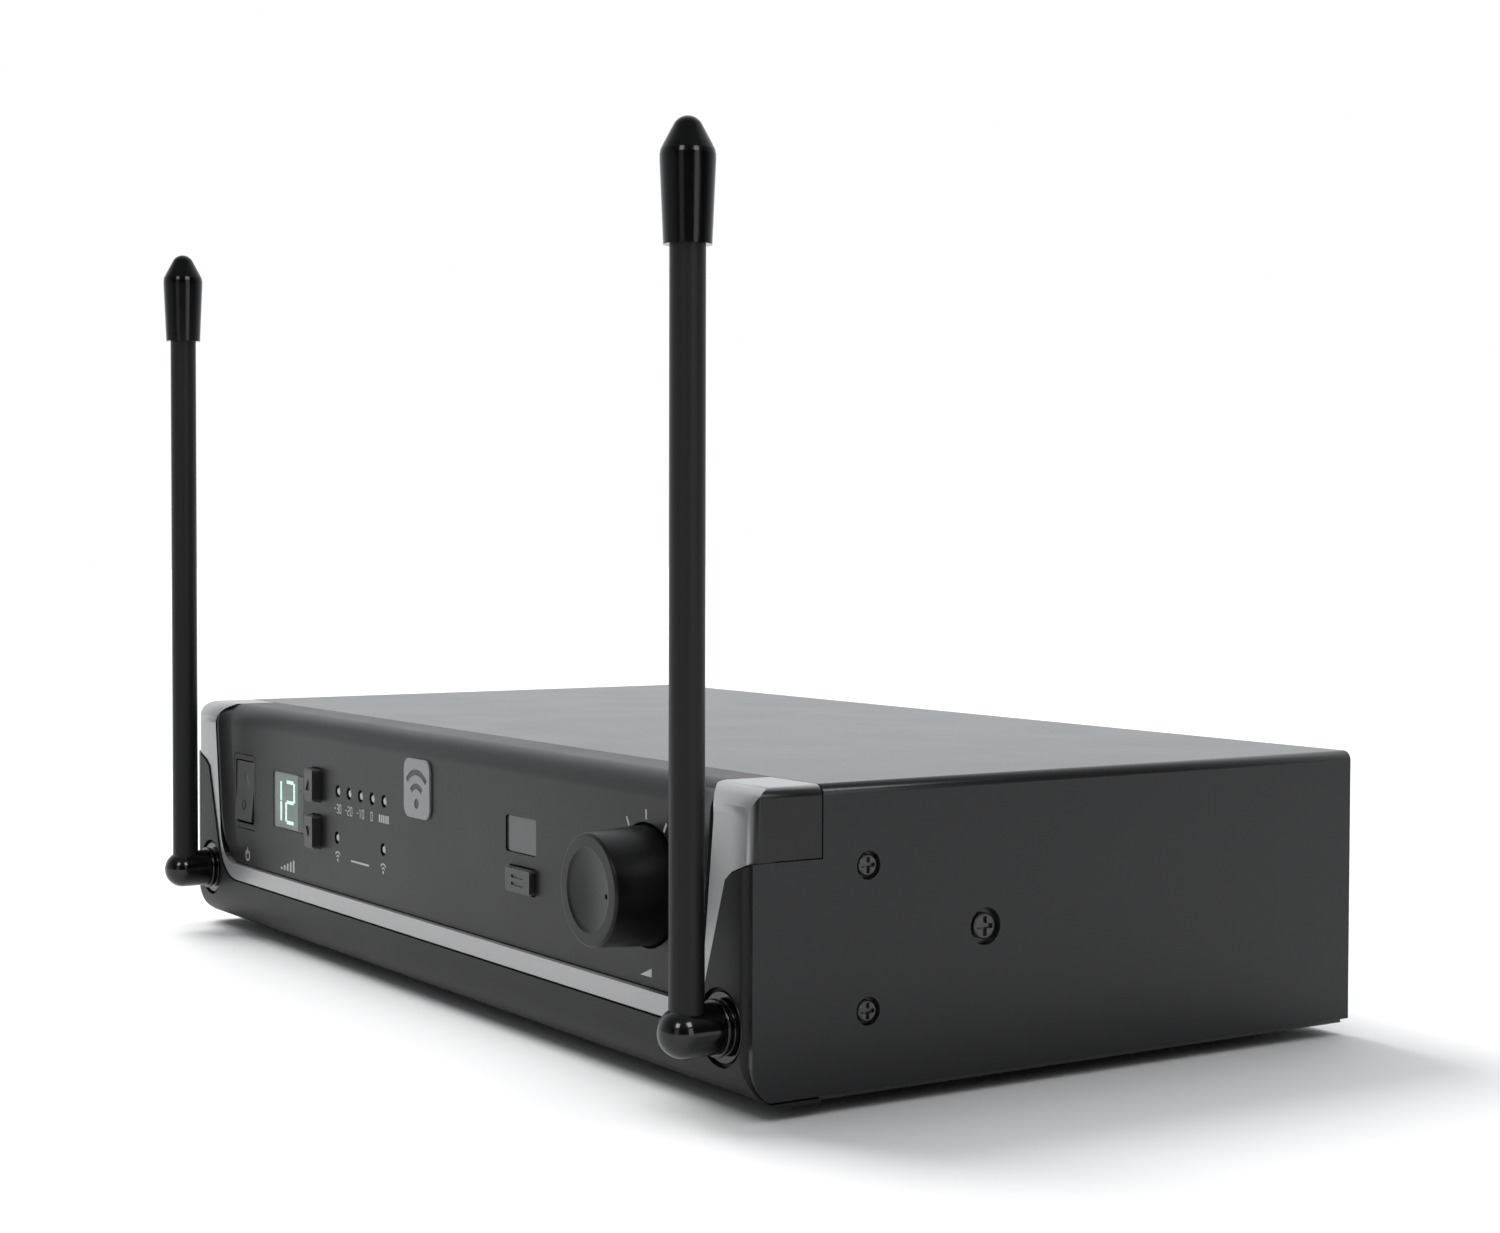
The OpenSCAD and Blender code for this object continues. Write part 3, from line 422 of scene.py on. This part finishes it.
def prisms(name, outlines, y0, y1, material, **kind):
    """Flat shapes, each a ring of (x, z), as one piece from y0 to y1."""
    points, faces = [], []
    for ring in outlines:
        n, k = len(ring), len(points)
        points += [(x, y0, z) for x, z in ring] + [(x, y1, z) for x, z in ring]
        faces.append([k + i for i in range(n)])
        faces.append([k + n + i for i in reversed(range(n))])
        faces += [[k + (i + 1) % n, k + i, k + n + i, k + n + (i + 1) % n] for i in range(n)]
    make(name, points, faces, material, **kind)


# The shapes below are rings of (x, z) in millimetres

def rectangle(x0, z0, x1, z1):
    return [(x0, z0), (x1, z0), (x1, z1), (x0, z1)]


def bar(x0, z0, x1, z1, t=0.3):
    """A straight stroke of thickness t."""
    length = math.hypot(x1 - x0, z1 - z0)
    nx, nz = -(z1 - z0) / length * t / 2, (x1 - x0) / length * t / 2
    return [(x0 + nx, z0 + nz), (x0 - nx, z0 - nz), (x1 - nx, z1 - nz), (x1 + nx, z1 + nz)]


def tick(x, z, dx, dz, r0, r1, t=0.3):
    """A straight stroke from r0 to r1 away from (x, z), in the direction (dx, dz)."""
    return bar(x + r0 * dx, z + r0 * dz, x + r1 * dx, z + r1 * dz, t)


def disc(x, z, r, n=20):
    turn = [math.tau * i / n for i in range(n)]
    return [(x + r * math.cos(a), z + r * math.sin(a)) for a in turn]


def band(x, z, r, t, a0, a1, n=12):
    """A curved stroke of thickness t, from a0 to a1 degrees."""
    turn = [math.radians(a0 + (a1 - a0) * i / n) for i in range(n + 1)]
    outer = [(x + (r + t / 2) * math.cos(a), z + (r + t / 2) * math.sin(a)) for a in turn]
    inner = [(x + (r - t / 2) * math.cos(a), z + (r - t / 2) * math.sin(a)) for a in turn]
    return outer + inner[::-1]


def frame_of(x0, z0, x1, z1):
    """Four strokes round a rectangle."""
    return [bar(x0, z0, x1, z0), bar(x0, z1, x1, z1), bar(x0, z0, x0, z1), bar(x1, z0, x1, z1)]


# Strokes (x0, z0, x1, z1) of the numerals, on a grid that is 2 wide and 4 high
NUMERALS = {
    "0": ((0, 0, 2, 0), (2, 0, 2, 4), (2, 4, 0, 4), (0, 4, 0, 0)),
    "1": ((1, 0, 1, 4), (0.3, 3.2, 1, 4)),
    "2": ((0, 4, 2, 4), (2, 4, 2, 2), (2, 2, 0, 2), (0, 2, 0, 0), (0, 0, 2, 0)),
    "3": ((0, 4, 2, 4), (2, 4, 2, 0), (0.4, 2, 2, 2), (2, 0, 0, 0)),
    "-": ((0.4, 2, 1.8, 2),),
}
NUMERAL_PITCH = 3.2                     # from one numeral to the next, on the same grid


def numerals(text, x, z, high, t=0.2):
    """Strokes of a number whose middle is at (x, z)."""
    k = high / 4
    pitch = NUMERAL_PITCH * k
    left = x - (pitch * (len(text) - 1) + 2 * k) / 2
    return [bar(left + i * pitch + a * k, z + (b - 2) * k, left + i * pitch + c * k, z + (d - 2) * k, t)
            for i, mark in enumerate(text) for a, b, c, d in NUMERALS[mark]]


# ---------------------------------------------------------------- ends of the fascia

LEAN = math.radians(7)                  # lean of the fascia's ends
LOW_R = 6.7                             # its lower corners
BROW_R = 4                              # its rounded upper edge
COVE_W = 6.4                            # width of the hollow strip at each end
COVE_ROWS, COVE_COLUMNS = 44, 12
COVE_FOOT = 0.05                        # the strip starts this far above the fascia's lower edge
COVE_SHORT = 1.2                        # and is this much shorter than the fascia
COVE_SINK = 0.03                        # its inner edge lies this far behind the fascia's face
COVE_BACK = 0.25                        # its back lies this far behind its face
COVE_GROW = 1.3                         # it reaches its full depth this many corner radii up
COVE_CURVE = 0.7                        # power by which the depth grows


def cove_face(top_x, low_z, i, j):
    """A point of the right strip's face: row i from below, column j from its inner edge."""
    z = low_z + COVE_FOOT + (CASE_H - low_z - COVE_SHORT) * i / COVE_ROWS
    edge = top_x - (CASE_H - z) * math.tan(LEAN)
    into = max(0, low_z + LOW_R - z)
    edge -= LOW_R - math.sqrt(max(0, LOW_R ** 2 - into ** 2))
    rise = min(1, max(0, (z - low_z) / (COVE_GROW * LOW_R))) ** COVE_CURVE
    over = max(0, z - (CASE_H - BROW_R))
    roll = BROW_R - math.sqrt(BROW_R ** 2 - over ** 2)
    s = j / COVE_COLUMNS
    x = edge - COVE_W * (1 - s)
    y = FASCIA_Y + roll + COVE_SINK - (FASCIA_Y - TRIM_Y + COVE_SINK) * rise * s ** 2
    return x, y, z


def add_coves(materials):
    """The ends of the fascia sweep forward to the trim: a hollow strip along each end."""
    top_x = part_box("front_fascia")[1].x / MM
    low_z = (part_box("front_fascia")[0].z - CASE_Z) / MM
    wide, half = COVE_COLUMNS + 1, (COVE_ROWS + 1) * (COVE_COLUMNS + 1)
    grid = [cove_face(top_x, low_z, i, j) for i in range(COVE_ROWS + 1) for j in range(wide)]
    faces = []
    for i in range(COVE_ROWS):
        for j in range(COVE_COLUMNS):
            a = i * wide + j
            faces.append((a, a + 1, a + wide + 1, a + wide))
            faces.append((half + a, half + a + wide, half + a + wide + 1, half + a + 1))
    rim = (list(range(wide)) + [i * wide + COVE_COLUMNS for i in range(1, COVE_ROWS + 1)]
           + [COVE_ROWS * wide + j for j in range(COVE_COLUMNS - 1, -1, -1)]
           + [i * wide for i in range(COVE_ROWS - 1, 0, -1)])
    for a, b in zip(rim, rim[1:] + rim[:1]):
        faces.append((a, half + a, half + b, b))
    for side, name in ((-1, "fascia_cove_left"), (1, "fascia_cove_right")):
        face = [(side * x, y, z) for x, y, z in grid]
        back = [(x, max(y, FASCIA_Y) + COVE_BACK, z) for x, y, z in face]
        make(name, face + back, faces, materials["fascia_plastic"], slot="fascia_plastic",
             smooth=True)


# ---------------------------------------------------------------- display

FILM_INSET = 0.1                        # the films end this far inside the window's outline
DARK_STRIP = 3.4                        # the dark film's width, with the inset
FILM_FRONT, FILM_BACK = -0.04, 0.01     # from the display module's face


def add_display(materials):
    """Behind the clear pane: the pale face and a dark strip on its right."""
    low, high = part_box("display_window")
    x0, x1 = low.x / MM + FILM_INSET, high.x / MM - FILM_INSET
    z0, z1 = (low.z - CASE_Z) / MM + FILM_INSET, (high.z - CASE_Z) / MM - FILM_INSET
    y = (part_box("display_module")[0].y - CASE_Y) / MM
    split = high.x / MM - DARK_STRIP
    for name, left, right, slot in (("display_panel", x0, split, "display_lit"),
                                    ("display_margin", split, x1, "display_glass")):
        prisms(name, [rectangle(left, z0, right, z1)], y + FILM_FRONT, y + FILM_BACK,
               materials[name], slot=slot)


# ---------------------------------------------------------------- printed marks

INK_OUT, INK_IN = 0.02, 0.05            # how far ink stands out of and goes into a face
BADGE_INK_FRONT, BADGE_INK_BACK = 0.1, 0.24     # from the badge's front

# Places on the fascia, in the case frame
POWER_SIGN = (-80.8, 14.6)
CHANNEL_SIGN = (-60.1, 14.6)
SCALE = (("-30", -36.1), ("-20", -31.2), ("-10", -26.0), ("0", -21.0))
SCALE_Z, SCALE_HIGH = 28.0, 1.5
SCALE_END_X = -17.6                     # first of the five bars after the scale
ANTENNA_SIGNS_X, ANTENNA_SIGNS_Z = (-36.1, -16.1), 18.6
ANTENNA_LINE = (-30.1, 19.0, -22.2, 19.0)
WEDGE_Z, WEDGE_HALF, WEDGE_HIGH = 14.0, 1.6, 1.3
KNOB_TICKS = (-31, 0, 31)               # degrees from straight up
KNOB_TICK_R = (9.6, 11.1)
BADGE_SIGN_DOWN = 2.6                   # its dot lies this far below the badge's middle

RATING_PLATE = (-8, 30.5, 52, 40.5)     # x0, z0, x1, z1 on the back


def antenna_sign(x, z):
    """Two arcs over a dot."""
    return [band(x, z, r, 0.25, 40, 140) for r in (0.7, 1.4)] + [disc(x, z - 0.1, 0.3)]


def add_marks(materials):
    """Marks on the front: plain signs and numbers in place of any lettering."""
    x, z = POWER_SIGN
    ink = [band(x, z - 0.1, 1.0, 0.32, 120, 420), bar(x, z + 0.1, x, z + 1.4, 0.32)]
    x, z = CHANNEL_SIGN
    ink += [bar(x - 3 + 1.5 * i, z - 0.9, x - 3 + 1.5 * i, z - 0.4 + 0.45 * i, 0.8) for i in range(5)]
    for text, x in SCALE:
        ink += numerals(text, x, SCALE_Z, SCALE_HIGH)
    for i in range(5):
        x = SCALE_END_X + 0.9 * i
        ink.append(bar(x, SCALE_Z - 0.7, x, SCALE_Z + 0.7, 0.55))
    left, right = ANTENNA_SIGNS_X
    ink += antenna_sign(left, ANTENNA_SIGNS_Z) + [bar(*ANTENNA_LINE, 0.35)]
    ink += antenna_sign(right, ANTENNA_SIGNS_Z)
    x0, x1 = KNOB_X - WEDGE_HALF, KNOB_X + WEDGE_HALF
    ink.append([(x0, WEDGE_Z), (x1, WEDGE_Z), (x1, WEDGE_Z + WEDGE_HIGH)])
    for a in map(math.radians, KNOB_TICKS):
        ink.append(tick(KNOB_X, KNOB_Z, math.sin(a), math.cos(a), *KNOB_TICK_R, 0.45))
    prisms("fascia_marks", ink, FASCIA_Y - INK_OUT, FASCIA_Y + INK_IN, materials["mark_ink"])

    low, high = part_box("badge_plate")
    x, z = (low.x + high.x) / 2 / MM, ((low.z + high.z) / 2 - CASE_Z) / MM - BADGE_SIGN_DOWN
    y = (low.y - CASE_Y) / MM
    fill = [disc(x, z, 0.88)] + [band(x, z, r, 0.96, 46, 134) for r in (3, 5.4)]
    prisms("badge_mark", fill, y + BADGE_INK_FRONT, y + BADGE_INK_BACK, materials["badge_ink"])


def balanced_sign(x, z):
    """A ring with three dots."""
    dots = [disc(x + 1.2 * math.cos(a), z + 1.2 * math.sin(a), 0.4) for a in (0.52, 2.62, 4.71)]
    return [band(x, z, 2.6, 0.35, 0, 350)] + dots


def jack_sign(x, z):
    """A plug as three strokes, each thinner than the last."""
    return [bar(x - 4, z, x + 0.5, z, 2.0), bar(x + 0.7, z, x + 3.4, z, 1.1),
            bar(x + 3.6, z, x + 4.4, z, 0.6)]


def level_sign(x, z):
    """The switch's two numbers, mirrored so that they read from behind, and a line between."""
    ink = []
    for text, side in (("0", -5.5), ("-20", 6.5)):
        for ring in numerals(text, x - side, z, 2.0, 0.28):
            ink.append([(2 * x - px, pz) for px, pz in ring])
    return ink + [bar(x - 1.5, z, x + 1.5, z, 0.35)]


def squelch_sign(x, z):
    """An arc round the trimmer, with six ticks."""
    turn = [math.radians(a) for a in range(-45, 226, 54)]
    ticks = [tick(x, z, math.cos(a), math.sin(a), 5.3, 6.3) for a in turn]
    return [band(x, z, 4.8, 0.35, -42, 222, 24)] + ticks


def supply_sign(x, z):
    """A socket's ring and pin between a minus and a plus, each in a circle."""
    ink = [band(x, z, 1.5, 0.3, 35, 325), disc(x, z, 0.6), bar(x + 0.6, z, x + 3.2, z),
           bar(x - 1.6, z, x - 3.2, z)]
    for side in (-1, 1):
        ink += [band(x + 4.4 * side, z, 1.1, 0.25, 0, 350),
                bar(x + 4.4 * side - 0.6, z, x + 4.4 * side + 0.6, z, 0.25)]
    return ink + [bar(x + 4.4, z - 0.6, x + 4.4, z + 0.6, 0.25)]


def rating_plate():
    """A frame with four plain lines and a row of upright bars."""
    ink = frame_of(*RATING_PLATE)
    for row in range(4):
        z = 38.3 - 1.9 * row
        ink.append(bar(-5.5, z, 16 - 3.1 * (row % 3), z, 0.55))
    for line in range(26):
        x = 25 + 0.95 * line
        ink.append(bar(x, 32.5, x, 38.6, 0.25 + 0.14 * ((line * 7) % 4)))
    return ink


def middle(node):
    low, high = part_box(node)
    return (low.x + high.x) / 2 / MM, ((low.z + high.z) / 2 - CASE_Z) / MM


# Signs on the back: (sign, node it belongs to, offset in x and z from the node's middle)
REAR_SIGNS = ((balanced_sign, "xlr_shell", 19, 0), (jack_sign, "jack_nut", 0, 13),
              (level_sign, "level_switch_body", 0, 6.2), (squelch_sign, "squelch_rotor", 0, 0),
              (supply_sign, "dc_socket", 0, 12))


def add_rear_marks(materials):
    """Printed signs beside each connector and control, and the rating plate."""
    back = (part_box("base_tray")[1].y - CASE_Y) / MM
    ink = []
    for sign, node, dx, dz in REAR_SIGNS:
        x, z = middle(node)
        ink += sign(x + dx, z + dz)
    ink += rating_plate()
    prisms("rear_marks", ink, back - INK_IN, back + INK_OUT, materials["mark_ink"])


# ---------------------------------------------------------------- the scene

add_camera()
add_world()
add_floor()
bpy.context.scene.view_settings.view_transform = "Standard"
for name, direction, power, spread in KEYS:
    add_key(name, direction, power, spread)
for name, place, size, power in PANELS:
    add_panel(name, at(*place), at(*PANEL_AIM), size, power)
materials = make_materials()
dress_cad(materials)
add_coves(materials)
add_display(materials)
add_marks(materials)
add_rear_marks(materials)
